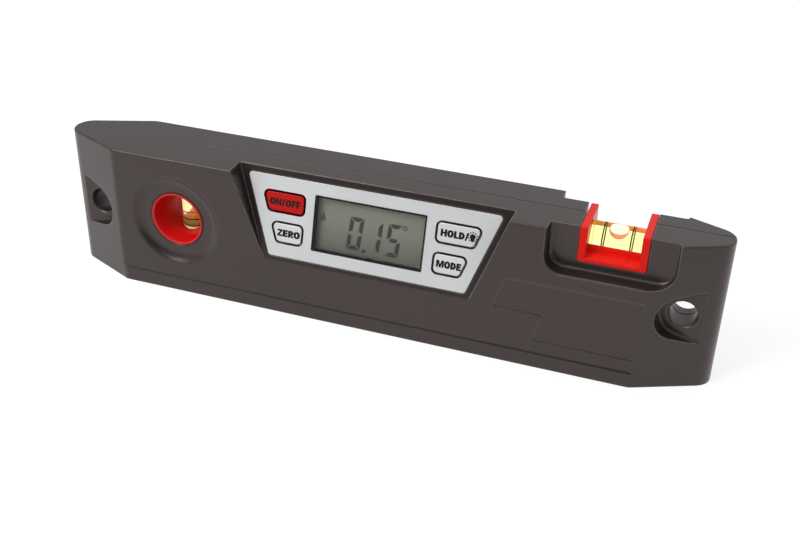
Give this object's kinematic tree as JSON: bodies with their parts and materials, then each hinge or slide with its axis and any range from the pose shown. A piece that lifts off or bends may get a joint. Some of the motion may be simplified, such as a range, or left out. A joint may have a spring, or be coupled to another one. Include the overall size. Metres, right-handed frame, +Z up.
{
  "type": "digital spirit level",
  "caption": "Short moulded level with a sloping display panel, pressable keys, a level vial in the top edge, a round plumb port and a hanging hole at each end.",
  "frame": {"origin": "middle of the lower measuring edge, half way along the body and half way through its depth", "axes": "+X along the body to the right as seen from the display side, -Y out of the display side, +Z up"},
  "size_m": [0.23, 0.029, 0.0508],
  "materials": {
    "casing_plastic": "fine satin texture",
    "panel_silver": "satin silver",
    "clear_window": "clear",
    "display": "matt",
    "key_silver": "satin",
    "key_red": "satin",
    "red_plastic": "gloss",
    "vial_green": "clear",
    "bubble": "clear",
    "white_plastic": "satin",
    "soft_black": "matt",
    "light_guide": "satin",
    "board_green": "satin",
    "chip_black": "matt",
    "spring_metal": "bright",
    "screw_steel": "zinc plated",
    "cell_jacket": "satin",
    "lead_red": "satin"
  },
  "bodies": {
    "housing": {"front_casing": "casing_plastic", "rear_casing": "casing_plastic", "fascia_panel": "panel_silver", "display_window": "clear_window", "display_gasket": "soft_black", "display_glass": "display", "display_backlight": "light_guide", "display_contact_strip": "soft_black", "circuit_board": "board_green", "controller_chip": "chip_black", "tilt_sensor": "chip_black", "switch_bodies": "chip_black", "board_screws": "screw_steel", "casing_screws": "screw_steel", "battery_cell_upper": "cell_jacket", "battery_cell_lower": "cell_jacket", "battery_bridge_contact": "spring_metal", "battery_positive_contact": "spring_metal", "battery_negative_contact": "spring_metal", "battery_positive_lead": "lead_red", "battery_negative_lead": "soft_black", "top_vial_carrier": "red_plastic", "top_vial": "vial_green", "top_vial_plug": "white_plastic", "plumb_sleeve_front": "red_plastic", "plumb_sleeve_rear": "red_plastic", "plumb_vial": "vial_green", "plumb_vial_plug": "white_plastic"},
    "battery_door": {"battery_door": "casing_plastic", "battery_door_screw": "screw_steel"},
    "top_bubble": {"top_bubble": "bubble"},
    "plumb_bubble": {"plumb_bubble": "bubble"},
    "key_on_off": {"key_on_off": "key_red", "switch_plunger_on_off": "chip_black"},
    "key_zero": {"key_zero": "key_silver", "switch_plunger_zero": "chip_black"},
    "key_hold_light": {"key_hold_light": "key_silver", "switch_plunger_hold_light": "chip_black"},
    "key_mode": {"key_mode": "key_silver", "switch_plunger_mode": "chip_black"}
  },
  "joints": [
    {"name": "battery_door_lift", "type": "slide", "parent": "housing", "child": "battery_door", "axis": [0, 1, 0], "range_m": [0, 0.025]},
    {"name": "top_bubble_drift", "type": "slide", "parent": "housing", "child": "top_bubble", "axis": [1, 0, 0], "range_m": [-0.0038, 0.0038], "stiffness_N_per_m": 0.5},
    {"name": "plumb_bubble_drift", "type": "slide", "parent": "housing", "child": "plumb_bubble", "axis": [0, 0, 1], "range_m": [-0.0104, 0], "stiffness_N_per_m": 0.6, "springref_m": 0.01},
    {"name": "key_on_off_press", "type": "slide", "parent": "housing", "child": "key_on_off", "axis": [0, 0.9666, -0.2561], "range_m": [0, 0.0004], "stiffness_N_per_m": 3000},
    {"name": "key_zero_press", "type": "slide", "parent": "housing", "child": "key_zero", "axis": [0, 0.9666, -0.2561], "range_m": [0, 0.0004], "stiffness_N_per_m": 3000},
    {"name": "key_hold_light_press", "type": "slide", "parent": "housing", "child": "key_hold_light", "axis": [0, 0.9666, -0.2561], "range_m": [0, 0.0004], "stiffness_N_per_m": 3000},
    {"name": "key_mode_press", "type": "slide", "parent": "housing", "child": "key_mode", "axis": [0, 0.9666, -0.2561], "range_m": [0, 0.0004], "stiffness_N_per_m": 3000}
  ]
}
